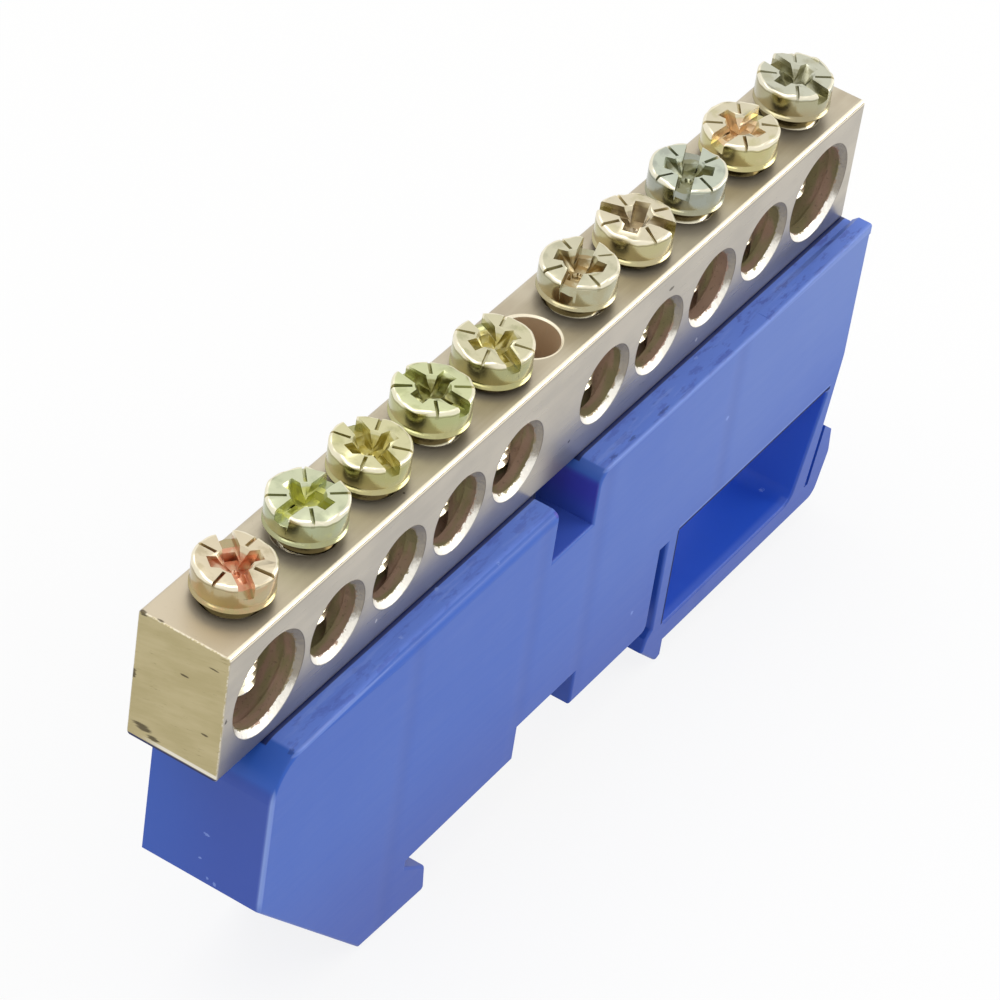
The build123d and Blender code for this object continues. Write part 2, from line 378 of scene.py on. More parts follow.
moulding = {
    "blue": (0.022, 0.106, 0.520, 1),
    "sheenPaleBlue": (0.098, 0.190, 0.570, 1),
    "endBlue": (0.020, 0.070, 0.420, 1),
    "litLedgeBlue": (0.108, 0.205, 0.680, 1),
    "sinkShadeBlue": (0.022, 0.060, 0.340, 1),
    "scuffBlue": (0.050, 0.078, 0.400, 1),
    "windowBounceBlue": (0.022, 0.100, 0.590, 1),
    "notchShadeBlue": (0.050, 0.054, 0.460, 1),
    "shadeNavy": (0.004, 0.008, 0.070, 1),
    "chipAndHighlight": (0.220, 0.330, 0.760, 1),
    "dentDark": (0.012, 0.024, 0.140, 1),
    "roughness": 0.37,
    "flowRoughness": 0.10,
    "shadowRoughness": 0.5,
    "flowDepth": 0.002,
    "specular": 0.42,
    "behindFront": -6.53,
    # Noise: how far it is squeezed along X, Y and Z, then its scale, detail and roughness
    "cloud": ((1, 0.4, 0.35), 0.11, 3),
    "speckle": ((1, 1, 1), 5.5, 3, 0.7),
    "flow": ((0.16, 1.4, 1.4), 1.0, 4, 0.6),
    "scuff": ((0.5, 1.3, 1.3), 0.8, 4, 0.62),
    # How much paler it gets along its foot, with its height, in its far upper part and in its clouds; all but
    # the clouds are painted sheen
    "paleFoot": 0.12,
    "paleHigh": 0.5,
    "paleFar": 0.4,
    "paleClouds": 0.5,
    # Fades, from a place to a place in millimetres
    "paleRun": (-30, 46),
    "paleRise": (0, 22),
    "farRun": (10, 46),
    "farRise": (6, 25),
    "lowRise": (-4, 14),
    "endRun": (-39.35, -39.1),
    "endDepth": (-4, 4),
    "frontDepth": (-6.5, -6.3),
    "notchRise": (20, 23),
    "notchShares": (0.35, 0.65),
    "sillRise": (-1.1, -0.9),
    "sillDepth": (-6.2, -5.6),
    "scuffRun": (0, 40),
    "scuffShares": (0.35, 0.25),
    "cornerRise": (10, 12),
    "cornerEnds": (((-39.2, -39.0), (-6.5, -6.38)), ((-39.45, -39.1), (-6.5, -6.2))),
    # Bands: from a place to a place in millimetres, with how soft an end
    "ledge": (25.0, 25.75, 0.04),
    "ledgeFront": -6.6,
    "windowRun": (19.7, 44.2, 0.1),
    "windowRise": (-1.45, 9.1, 0.05),
    "notchBand": (-2.1, 4.1, 0.1),
    "notchHeight": (19.8, 24.98, 0.06),
    "lintelRun": (19.6, 43.8, 0.05),
    "lintelShadow": (9.00, 9.34, 0.03),
    "lintelGlint": (9.40, 9.54, 0.04),
    "jambRun": (19.46, 19.8, 0.03),
    "jambRise": (-1.1, 9.2, 0.1),
    "creaseRise": (24.8, 25.4, 0.03),
    "creaseDepth": (-4.22, -3.0, 0.05),
    "edgeDepth": (-6.75, -6.35, 0.05),
    "edgeRise": (24.84, 25.8, 0.05),
    "sinkPlaces": (-20.85, -3.4, 5.4, 25.3),
    "sinkWidth": 1.6,
    "sinkDepth": 0.025,
    # How much noise there has to be for a scuff, a streak and a pale streak
    "scuffed": (0.52, 0.62),
    "streaked": (0.53, 0.66),
    "paled": (0.44, 0.34),
    # Small chips and dents: centre and reach in millimetres
    "chips": (
        ((-39.9, -4.9, 25.1), (0.30, 0.55, 0.3)),
        ((-39.4, -1.45, 15.6), (0.2, 0.30, 0.16)),
        ((-39.4, -1.08, 13.0), (0.2, 0.20, 0.12)),
        ((-39.3, -2.60, 11.2), (0.3, 0.22, 0.24)),
        ((-39.4, -1.90, 11.4), (0.2, 0.16, 0.16)),
        ((24.7, -6.65, 17.8), (0.28, 0.2, 0.26)),
        ((13.7, -6.65, 4.2), (0.26, 0.2, 0.22)),
        ((-9.8, -6.25, 25.1), (0.35, 0.25, 0.2)),
        ((-21.6, -5.30, 25.1), (0.20, 0.20, 0.2)),
        ((-15.4, -4.30, 25.1), (0.30, 0.20, 0.2)),
        ((21.2, -4.55, 25.1), (0.30, 0.15, 0.2)),
        ((39.9, -4.1, -1.3), (0.26, 0.26, 0.3)),
    ),
    "dents": (
        ((-39.3, -5.45, 25.1), (0.45, 0.45, 0.3)),
        ((-36.9, -6.10, 25.1), (0.40, 0.30, 0.3)),
        ((6.5, -6.15, 25.0), (0.55, 0.25, 0.35)),
        ((9.4, -6.05, 25.1), (0.6, 0.16, 0.3)),
        ((13.9, -6.10, 25.2), (1.0, 0.16, 0.4)),
    ),
}


def makeNylon():
    material, start = startMaterial("blueNylon")
    spot = inMillimetres(start)
    x, y, z = parts(spot)
    cloud = noise(spot, *moulding["cloud"])
    speckle = noise(spot, *moulding["speckle"])
    flow = noise(spot, *moulding["flow"])
    scuff = noise(spot, *moulding["scuff"])
    behind = y > moulding["behindFront"]
    # Painted sheen: paler towards the far end and the top, with random clouds in it
    along = moulding["paleFoot"] + z.step(*moulding["paleRise"]) * moulding["paleHigh"]
    along = x.step(*moulding["paleRun"]) * along
    far = z.step(*moulding["farRise"]) * x.step(*moulding["farRun"]) * moulding["paleFar"]
    pale = along + far + (cloud - 0.5) * moulding["paleClouds"]
    tone = pale.blend(moulding["blue"], moulding["sheenPaleBlue"])
    # Darker towards the bottom
    tone = lay(tone, 1 - z.step(*moulding["lowRise"]), moulding["endBlue"], share=0.75)
    # Sink marks over the ribs: a shallow dip in the bump, with painted shade over it
    height = flow * moulding["flowDepth"]
    for middle in moulding["sinkPlaces"]:
        flank = (abs(x - middle) / moulding["sinkWidth"]).step(0, 1)
        tone = lay(tone, 1 - flank, moulding["sinkShadeBlue"], share=0.18)
        height = height + flank * moulding["sinkDepth"]
    # Painted shade: the near end face is darker, fully at the front and by half at the back
    endFace = (1 - x.step(*moulding["endRun"])) * behind
    tone = lay(tone, endFace * (1 - y.step(*moulding["endDepth"]) * 0.5), moulding["endBlue"])
    # Painted light: the ledge under the bar is lighter than the faces around it
    ledge = z.band(*moulding["ledge"]) * (y > moulding["ledgeFront"])
    tone = lay(tone, ledge, moulding["litLedgeBlue"])
    # Painted light inside the window and the notch: a deeper, bounced blue in the window, and painted shade
    # in the notch, heavier towards its top
    window = x.band(*moulding["windowRun"]) * z.band(*moulding["windowRise"]) * behind
    tone = lay(tone, window, moulding["windowBounceBlue"])
    notch = x.band(*moulding["notchBand"]) * z.band(*moulding["notchHeight"]) * behind
    below, above = moulding["notchShares"]
    tone = lay(tone, notch * (below + z.step(*moulding["notchRise"]) * above), moulding["notchShadeBlue"])
    # Painted shadow along the window's upper and near edges, with a painted highlight line over it
    front = 1 - y.step(*moulding["frontDepth"])
    lintel = front * x.band(*moulding["lintelRun"])
    jamb = front * x.band(*moulding["jambRun"]) * z.band(*moulding["jambRise"])
    shadow = (lintel * z.band(*moulding["lintelShadow"])).most(jamb)
    tone = lay(tone, shadow, moulding["shadeNavy"], share=0.95)
    tone = lay(tone, lintel * z.band(*moulding["lintelGlint"]), moulding["chipAndHighlight"], share=0.45)
    # A painted pool of light on the window's sill
    litSill = window * (1 - z.step(*moulding["sillRise"])) * (1 - y.step(*moulding["sillDepth"]))
    tone = lay(tone, litSill, moulding["chipAndHighlight"], share=0.25)
    # Handling marks on the ledge, and painted shade in the crease where the bar meets it
    least, more = moulding["scuffShares"]
    scuffs = ledge * scuff.step(*moulding["scuffed"]) * (least + x.step(*moulding["scuffRun"]) * more)
    tone = lay(tone, scuffs, moulding["scuffBlue"])
    tone = lay(tone, ledge * flow.step(*moulding["streaked"]), moulding["scuffBlue"], share=0.3)
    tone = lay(tone, ledge * flow.step(*moulding["paled"]), moulding["chipAndHighlight"], share=0.3)
    creaseShade = z.band(*moulding["creaseRise"]) * y.band(*moulding["creaseDepth"])
    tone = lay(tone, creaseShade, moulding["shadeNavy"], share=0.9)
    # Painted highlights along the ledge's front edge and down the near corner
    edge = y.band(*moulding["edgeDepth"]) * z.band(*moulding["edgeRise"])
    tone = lay(tone, edge, moulding["chipAndHighlight"], share=0.4)
    line, glow = ((1 - x.step(*run)) * (1 - y.step(*depth)) for run, depth in moulding["cornerEnds"])
    tone = lay(tone, (line + glow) * z.step(*moulding["cornerRise"]), moulding["chipAndHighlight"], share=0.55)
    # Dark spots at the dents
    for centre, size in moulding["dents"]:
        tone = lay(tone, dab(spot, centre, size, speckle), moulding["dentDark"], share=0.5)
    for centre, size in moulding["chips"]:
        tone = lay(tone, dab(spot, centre, size, speckle), moulding["chipAndHighlight"], share=0.65)
    gloss = flow * moulding["flowRoughness"] + moulding["roughness"] + shadow * moulding["shadowRoughness"]
    shader = start.add("ShaderNodeBsdfPrincipled", {}, {
        "Base Color": tone,
        "Roughness": gloss,
        "Normal": bump(height, 1.0, mm),
        "Specular IOR Level": moulding["specular"],
    })
    finishMaterial(start, shader)
    return material


# Brass bar

brass = {
    "centre": 1.0,
    "halfLength": 44.15,
    "top": 37.1,
    "middle": 31.1,
    "wireHeight": 30.85,
    # Distance of each pair of wire holes from the middle, and their radius
    "wireHoles": ((6.1, 2.95), (14.05, 2.95), (22.0, 2.95), (29.95, 2.95), (38.55, 3.9)),
    "endHolesFrom": 34,
    "centreHole": 3.2,
    "nearTopReflection": colour(206, 193, 169),
    "topPale": colour(204, 194, 172),
    "topDark": colour(184, 172, 149),
    "sidePale": colour(192, 184, 169),
    "sideDark": colour(178, 171, 158),
    "edge": colour(252, 242, 216),
    "speckAndEdgeShade": colour(150, 138, 118),
    "foot": colour(56, 60, 96),
    "lowSide": colour(128, 128, 140),
    "sawn": colour(180, 167, 124),
    "sawnPale": colour(192, 179, 138),
    "sawnDark": colour(132, 118, 78),
    "boreBrown": colour(164, 136, 120),
    "boreOlive": colour(142, 134, 100),
    "centreBrown": colour(208, 182, 150),
    "paleHighlight": colour(248, 244, 234),
    "mouthPlain": colour(158, 150, 137),
    "pitAndLineDark": colour(96, 86, 74),
    "stain": colour(74, 64, 44),
    "metallic": 0.8,
    "boreDullness": 0.6,
    "roughness": 0.26,
    "roughnessMore": {"fine": 0.04, "top": 0.14, "end": 0.16, "mouth": 0.12, "bore": 0.10},
    "depths": {"drawn": 0.0012, "sawn": 0.03, "mouth": 0.06, "bore": 0.03},
    # Noise: how far it is squeezed along X, Y and Z, then its scale, detail, roughness and lean
    "streak": ((0.05, 1.3, 1.3), 1.0, 4, 0.6),
    "fine": ((0.12, 6.0, 6.0), 1.0, 3, 0.6),
    "cloud": ((0.6, 1, 1), 0.28, 3),
    "speck": ((1, 1, 1), 3.2, 3, 0.65),
    "saw": ((1, 0.30, 3.2), 1.0, 4, 0.65, 11),
    "dash": ((1, 0.9, 6.5), 1.0, 3, 0.6, 11),
    "broad": ((1, 0.35, 0.9), 0.7, 3, 0.5, 11),
    "bore": ((0.22, 1, 0.3), 0.8, 3),
    "burr": ((1, 1, 1), 1.6, 4, 0.7),
    # Fades and bands in millimetres, where those below nought are counted off the bar's top, end or hole
    "endFace": (-0.10, -0.04),
    "topFace": (-0.12, -0.05),
    "nearRun": (-30, -40),
    "edgeRise": (-0.34, -0.26),
    "edgeDepth": (-3.72, -3.62),
    "underEdge": (-0.52, -0.38, 0.04),
    "underEdgeDepth": 3.9,
    "lowRise": (25.1, 28.4),
    "footRise": (25.12, 25.20),
    "sawnRim": (3.84, 3.94),
    "sawnRimDrop": 2.0,
    "burrRise": (25.46, 25.78, 0.06),
    "burrDepth": (0.5, 3.0),
    "sawnFoot": (25.38, 25.46),
    # Where the walls of the holes begin, and the rings at their mouths
    "wallDepth": 3.965,
    "wallFoot": 25.2,
    "wallTop": -0.15,
    "wallEnd": -0.12,
    "mouthDepth": 3.49,
    "mouthRing": (-0.03, 0.53, 0.015),
    "mouthLine": (0.44, 0.50),
    "mouthLow": (-2.1, -0.9),
    "mouthLowAtEnds": 0.8,
    "mouthWave": 1.2,
    "burrReach": 0.75,
    "burrEdge": (0.0, 0.08),
    "centreRing": (2.7, 2.78),
    "centreRise": (-0.24, -0.16),
    # How the noises are mixed, and how much there has to be for each kind of mark
    "drawnMix": (0.30, 0.70),
    "sawnMix": (0.35, 0.65),
    "mixed": (0.34, 0.66),
    "specked": (0.66, 0.74),
    "dashed": (0.65, 0.74),
    "rimmed": (0.40, 0.60),
    "olive": (0.4, 0.6),
    "pitted": (0.58, 0.70),
    # Marks on the bar: centre and reach in millimetres
    "stains": (
        ((-43.15, 2.7, 26.6), (0.25, 1.0, 0.42)),
        ((-43.15, 1.7, 26.0), (0.25, 0.7, 0.28)),
        ((-43.15, 3.9, 31.1), (0.3, 0.35, 0.55)),
        ((-43.15, 3.6, 37.0), (0.3, 0.5, 0.25)),
        ((-43.10, 2.1, 37.1), (0.2, 0.5, 0.10)),
        ((-43.15, -0.4, 33.4), (0.2, 0.40, 0.10)),
        ((-43.15, -2.8, 35.4), (0.2, 0.45, 0.08)),
        ((-43.15, -2.6, 29.0), (0.2, 0.35, 0.12)),
        ((2.7, -4.0, 27.85), (0.20, 0.3, 0.16)),
        ((15.8, -4.0, 35.1), (0.40, 0.3, 0.22)),
        ((-42.8, -4.0, 30.9), (0.18, 0.3, 0.30)),
        ((-20.3, -3.1, 37.1), (0.16, 0.16, 0.2)),
    ),
    "glints": (
        ((21.8, -4.0, 26.3), (0.22, 0.3, 0.26)),
        ((-23.4, -4.0, 27.2), (0.18, 0.3, 0.18)),
    ),
}


def holeDistance(along, z):
    # How far a place is outside the wall of the nearest wire hole
    rise = z - brass["wireHeight"]
    nearest = None
    for middle, radius in brass["wireHoles"]:
        run = along - middle
        away = (run * run + rise * rise).root() - radius
        nearest = away if nearest is None else nearest.least(away)
    return nearest


def mix(first, second, shares):
    # Two noises in one, as a share between two shades
    return (first * shares[0] + second * shares[1]).step(*brass["mixed"])


def drawnTone(spot, x, y, z, topFace, speck):
    # Drawn faces: faint streaks along the bar over broad clouds, in a lighter tint on the top and a greyer
    # one on the side as painted light
    streak = noise(spot, *brass["streak"])
    cloud = noise(spot, *brass["cloud"])
    rise = z - brass["top"]
    mixed = mix(streak, cloud, brass["drawnMix"])
    side = mixed.blend(brass["sideDark"], brass["sidePale"])
    top = mixed.blend(brass["topDark"], brass["topPale"])
    # Painted reflection: the top is paler towards the near end
    top = lay(top, x.step(*brass["nearRun"]), brass["nearTopReflection"])
    tone = topFace.blend(side, top)
    tone = lay(tone, speck.step(*brass["specked"]), brass["speckAndEdgeShade"], share=0.25)
    # A painted highlight along the front edge of the top
    edge = rise.step(*brass["edgeRise"]) * (1 - y.step(*brass["edgeDepth"]))
    tone = lay(tone, edge, brass["edge"])
    # A painted dark line under the top's edges
    under = rise.band(*brass["underEdge"]) * (abs(y) > brass["underEdgeDepth"])
    tone = lay(tone, under, brass["speckAndEdgeShade"], share=0.45)
    # Painted reflection of the blue moulding, bluish grey low on the side
    tone = lay(tone, 1 - z.step(*brass["lowRise"]), brass["lowSide"], share=0.45)
    # Painted shade in the crease along the bar's foot
    return lay(tone, 1 - z.step(*brass["footRise"]), brass["foot"], share=0.6)


def sawnTone(spot, y, z, saw, speck):
    # Sawn ends: ragged lines that lean across the face, with a pale ragged rim and a bright burr at the foot,
    # painted highlights on real burrs, and a painted shadow line under the burr
    dash = noise(spot, *brass["dash"])
    broad = noise(spot, *brass["broad"])
    tone = mix(saw, broad, brass["sawnMix"]).blend(brass["sawn"], brass["sawnPale"])
    tone = lay(tone, dash.step(*brass["dashed"]), brass["sawnDark"], share=0.55)
    rim = (abs(z - brass["middle"]) - brass["sawnRimDrop"]).most(abs(y)).step(*brass["sawnRim"])
    tone = lay(tone, rim * speck.step(*brass["rimmed"]), brass["paleHighlight"], share=0.6)
    burr = z.band(*brass["burrRise"]) * (1 - y.step(*brass["burrDepth"]))
    tone = lay(tone, burr, brass["paleHighlight"], share=0.7)
    return lay(tone, 1 - z.step(*brass["sawnFoot"]), brass["foot"])


def boreTone(spot, fromCentre, speck):
    # Dull walls painted between brown and olive as shade and bounced brass light, paler in the middle hole,
    # with dark pits
    olive = noise(spot, *brass["bore"]).step(*brass["olive"])
    tone = olive.blend(brass["boreBrown"], brass["boreOlive"])
    tone = lay(tone, speck.step(*brass["pitted"]), brass["pitAndLineDark"], share=0.5)
    return lay(tone, fromCentre < brass["centreHole"], brass["centreBrown"])


def mouthTone(spot, along, z, away, bore, speck):
    # A ragged ring round each wire hole, with a painted highlight at its foot, painted shade greyer above it
    # and a painted dark line at its outer edge
    lowest = z - brass["wireHeight"] + (along > brass["endHolesFrom"]) * brass["mouthLowAtEnds"]
    low = 1 - (lowest + (speck - 0.5) * brass["mouthWave"]).step(*brass["mouthLow"])
    tone = low.blend(brass["mouthPlain"], brass["paleHighlight"])
    burrs = noise(spot, *brass["burr"])
    ragged = (away + (burrs - 0.5) * brass["burrReach"]).step(*brass["burrEdge"])
    tone = ragged.blend(bore, tone)
    return lay(tone, away.step(*brass["mouthLine"]), brass["pitAndLineDark"], share=0.6)


def makeBrass():
    material, start = startMaterial("drawnBrass")
    spot = inMillimetres(start)
    x, y, z = parts(spot)
    along = abs(x - brass["centre"])
    reach = along - brass["halfLength"]
    rise = z - brass["top"]
    depth = abs(y)
    fine = noise(spot, *brass["fine"])
    speck = noise(spot, *brass["speck"])
    saw = noise(spot, *brass["saw"])
    endFace = reach.step(*brass["endFace"])
    topFace = rise.step(*brass["topFace"])
    away = holeDistance(along, z)
    fromCentre = (along * along + y * y).root()
    inside = (depth < brass["wallDepth"]) * (z > brass["wallFoot"])
    inside = inside * (rise < brass["wallTop"]) * (reach < brass["wallEnd"])
    mouth = (depth > brass["mouthDepth"]) * away.band(*brass["mouthRing"]) * (1 - topFace) * (1 - endFace)
    tone = drawnTone(spot, x, y, z, topFace, speck)
    tone = lay(tone, endFace, sawnTone(spot, y, z, saw, speck))
    bore = boreTone(spot, fromCentre, speck)
    tone = lay(tone, inside, bore)
    tone = lay(tone, mouth, mouthTone(spot, along, z, away, bore, speck))
    # A painted highlight round the rim of the middle hole
    centreRim = (1 - fromCentre.step(*brass["centreRing"])) * rise.step(*brass["centreRise"])
    tone = lay(tone, centreRim, brass["edge"])
    for centre, size in brass["stains"]:
        tone = lay(tone, dab(spot, centre, size, saw), brass["stain"], share=0.85)
    for centre, size in brass["glints"]:
        tone = lay(tone, dab(spot, centre, size, speck), brass["edge"])
    depths, more = brass["depths"], brass["roughnessMore"]
    height = fine * (1 - endFace) * depths["drawn"] + saw * endFace * depths["sawn"]
    height = height + speck * mouth * depths["mouth"] + speck * inside * depths["bore"]
    roughness = fine * more["fine"] + topFace * more["top"] + brass["roughness"]
    roughness = roughness + endFace * more["end"] + mouth * more["mouth"] + inside * more["bore"]
    shader = start.add("ShaderNodeBsdfPrincipled", {}, {
        "Base Color": tone,
        "Metallic": brass["metallic"] - inside * (1 - mouth) * brass["boreDullness"],
        "Roughness": roughness,
        "Normal": bump(height, 1.0, mm),
    })
    finishMaterial(start, shader)
    return material


dress("rail_base", makeNylon())
dress("terminal_bar", makeBrass())
print("moulding and bar dressed")


# Clamp screws

screw = {
    "barTop": brass["top"],
    "segments": 80,
    "headRadius": 3.12,
    "headHeight": 2.65,
    "underside": 0.02,
    "lipRadius": 3.16,
    "lipHeight": 0.30,
    "grooveRadius": 3.06,
    "grooveRise": 0.08,
    "shoulderRise": 0.22,
    "rimBevel": 0.24,
    "rimSteps": 4,
    "neckRadius": 2.15,
    "shankLength": 9.2,
    "tipLength": 0.5,
    "tipTaper": 0.8,
    "coreRadius": 2.12,
    "threadRadius": 2.44,
    "threadCrest": 0.12,
    "threadStart": 1.0,
    "threadShare": 0.98,
    "threadSteps": 28,
    "pitch": 0.8,
    "cutAbove": 0.5,
    "slotLength": 7.0,
    "slotWidth": 1.30,
    "slotDepth": 0.95,
    "slotTaper": 0.94,
    "armWidth": 1.32,
    "armReach": 2.15,
    "armDepth": 1.7,
    "armTaper": 0.66,
    "funnelSegments": 32,
    "funnelRadius": 1.40,
    "funnelTip": 0.35,
    "funnelDepth": 2.0,
    "funnelMiddle": 0.95,
    "nickLength": 2.4,
    "nickWidth": 0.50,
    "nickDepth": 0.30,
    "nickTaper": 0.3,
    "nickFrom": 1.55,
    "nickTurn": 45,
    "edgeBevel": 0.05,
    "edgeSteps": 2,
    "edgeAngle": 35,
    "smoothAngle": 32,
    "pressedFrom": 1.5,
    "pressedDepth": 0.62,
    "pressedGrain": 1.5,
    "pressedOctaves": 1,
    "pressedLevel": 0.8,
}

# One row for each screw: its axis along the bar, the gap under its head, the slot's direction, and the
# tints of its top, upper side, lower side and recess, the top's lighter than the side's as painted light
screwRows = [
    (-37.50, 0.85, 51, (220, 207, 178), (182, 167, 130), (172, 157, 112), (214, 150, 122)),
    (-28.60, 1.05, 177, (205, 209, 176), (172, 179, 145), (164, 162, 120), (200, 200, 118)),
    (-20.60, 0.85, 66, (214, 209, 164), (172, 170, 118), (182, 174, 128), (188, 176, 104)),
    (-12.60, 1.10, 85, (208, 212, 166), (176, 180, 130), (182, 177, 128), (140, 134, 84)),
    (-4.25, 0.50, 62, (212, 206, 172), (168, 168, 124), (172, 166, 118), (202, 190, 124)),
    (7.50, 0.95, 16, (209, 204, 176), (178, 175, 146), (176, 166, 130), (166, 142, 98)),
    (15.65, 0.55, 107, (219, 209, 182), (187, 180, 136), (186, 174, 134), (180, 166, 146)),
    (23.25, 1.10, 23, (196, 202, 184), (158, 162, 150), (162, 156, 122), (140, 138, 102)),
    (31.35, 0.80, 173, (217, 208, 180), (193, 186, 135), (186, 176, 126), (222, 194, 162)),
    (39.60, 1.15, 79, (202, 202, 182), (173, 169, 138), (168, 156, 122), (156, 154, 128)),
]


def addBlock(length, width, depth, taper, turn=0.0, start=None):
    # A block that hangs from above the head's top and is narrower at its foot, for cutting
    deselectAll()
    spare = screw["cutAbove"]
    middle = 0.0 if start is None else start + length / 2
    height = screw["headHeight"] - depth / 2 + spare / 2
    bpy.ops.mesh.primitive_cube_add(size=1, location=(middle * mm, 0, height * mm))
    block = bpy.context.object
    block.scale = (length * mm, width * mm, (depth + spare) * mm)
    applyPlace(block)
    selectWhere(block, lambda place, normal: normal.z < -pickSlope)
    bpy.ops.transform.resize(value=(1 if start is not None else taper, taper, 1))
    bpy.ops.object.mode_set(mode="OBJECT")
    block.rotation_euler = (0, 0, math.radians(turn))
    applyPlace(block)
    return block


def addHead():
    # Stands on the underside of the head, with the shank below it
    deselectAll()
    low, high = screw["underside"], screw["lipHeight"]
    bpy.ops.mesh.primitive_cylinder_add(vertices=screw["segments"], radius=screw["lipRadius"] * mm,
                                        depth=(high - low) * mm, location=(0, 0, (high + low) / 2 * mm))
    head = bpy.context.object
    applyPlace(head)
    selectWhere(head, lambda place, normal: normal.z > pickSlope)
    extrudeUp(screw["grooveRise"], screw["grooveRadius"] / screw["lipRadius"])
    extrudeUp(screw["shoulderRise"], screw["headRadius"] / screw["grooveRadius"])
    extrudeUp(screw["headHeight"] - screw["lipHeight"] - screw["grooveRise"] - screw["shoulderRise"])
    selectWhere(head, lambda place, normal: normal.z < -pickSlope)
    bpy.ops.mesh.inset(thickness=(screw["lipRadius"] - screw["neckRadius"]) * mm)
    extrudeUp(screw["tipLength"] - screw["shankLength"] - screw["underside"])
    extrudeUp(-screw["tipLength"], screw["tipTaper"])
    top = (screw["headHeight"] - pickGap) * mm
    selectWhere(head, lambda first, second: first.z > top and second.z > top, "EDGE")
    bpy.ops.mesh.bevel(offset=screw["rimBevel"] * mm, segments=screw["rimSteps"], affect="EDGES")
    bpy.ops.object.mode_set(mode="OBJECT")
    return head


def cutHead(head):
    # A cross recess with a funnel in it, a slot across it, four nicks between its arms, and all edges broken
    span = 2 * screw["armReach"]
    for turn in (0, 90):
        cutWith(head, addBlock(span, screw["armWidth"], screw["armDepth"], screw["armTaper"], turn))
    deselectAll()
    bpy.ops.mesh.primitive_cone_add(vertices=screw["funnelSegments"], depth=screw["funnelDepth"] * mm,
                                    radius1=screw["funnelTip"] * mm, radius2=screw["funnelRadius"] * mm,
                                    location=(0, 0, (screw["headHeight"] - screw["funnelMiddle"]) * mm))
    cutWith(head, bpy.context.object)
    cutWith(head, addBlock(screw["slotLength"], screw["slotWidth"], screw["slotDepth"], screw["slotTaper"]))
    for quarter in range(4):
        turn = screw["nickTurn"] + 90 * quarter
        cutWith(head, addBlock(screw["nickLength"], screw["nickWidth"], screw["nickDepth"],
                               screw["nickTaper"], turn, screw["nickFrom"]))
    addModifier(head, "BEVEL", width=screw["edgeBevel"] * mm, segments=screw["edgeSteps"],
                limit_method="ANGLE", angle_limit=math.radians(screw["edgeAngle"]))
    applyModifiers(head)


def addThread():
    # A shallow vee swept down the shank
    inner, outer, pitch = screw["coreRadius"], screw["threadRadius"], screw["pitch"]
    turns = int((screw["shankLength"] - screw["threadStart"]) / pitch)
    deselectAll()
    bpy.ops.mesh.primitive_plane_add(size=1, rotation=(math.pi / 2, 0, 0),
                                     location=((inner + outer) / 2 * mm, 0, -screw["threadStart"] * mm))
    thread = bpy.context.object
    thread.scale = ((outer - inner) * mm, screw["threadShare"] * pitch * mm, 1)
    applyPlace(thread)
    rim = (outer - pickGap) * mm
    selectWhere(thread, lambda first, second: first.x > rim and second.x > rim, "EDGE")
    bpy.ops.transform.resize(value=(1, 1, screw["threadCrest"]))
    bpy.ops.mesh.select_mode(type="FACE")
    bpy.ops.mesh.select_all(action="SELECT")
    bpy.ops.mesh.delete(type="ONLY_FACE")
    bpy.ops.object.mode_set(mode="OBJECT")
    addModifier(thread, "SCREW", axis="Z", angle=2 * math.pi, screw_offset=-pitch * mm, iterations=turns,
                steps=screw["threadSteps"], render_steps=screw["threadSteps"], use_smooth_shade=False)
    applyModifiers(thread)
    bpy.ops.object.mode_set(mode="EDIT")
    bpy.ops.mesh.select_all(action="SELECT")
    bpy.ops.mesh.fill_holes(sides=4)  # closes the thread's two ends
    bpy.ops.mesh.select_all(action="SELECT")
    bpy.ops.mesh.normals_make_consistent(inside=False)
    bpy.ops.object.mode_set(mode="OBJECT")
    return thread


def modelScrew():
    # One screw at the origin, from which all ten are copied
    model = addHead()
    cutHead(model)
    thread = addThread()
    deselectAll()
    thread.select_set(True)
    model.select_set(True)
    bpy.context.view_layer.objects.active = model
    bpy.ops.object.join()
    bpy.ops.object.shade_smooth_by_angle(angle=math.radians(screw["smoothAngle"]))
    return model


def pressTop(piece, gap, texture):
    # The stamped top dips here and there, so the rim and the recess are uneven
    level = (screw["barTop"] + gap + screw["pressedFrom"]) * mm
    group = piece.vertex_groups.new(name="top")
    group.add([corner.index for corner in piece.data.vertices if corner.co.z > level], 1.0, "ADD")
    addModifier(piece, "DISPLACE", texture=texture, texture_coords="LOCAL", direction="Z",
                mid_level=screw["pressedLevel"], strength=screw["pressedDepth"] * mm, vertex_group="top")
    applyModifiers(piece)
    piece.vertex_groups.clear()


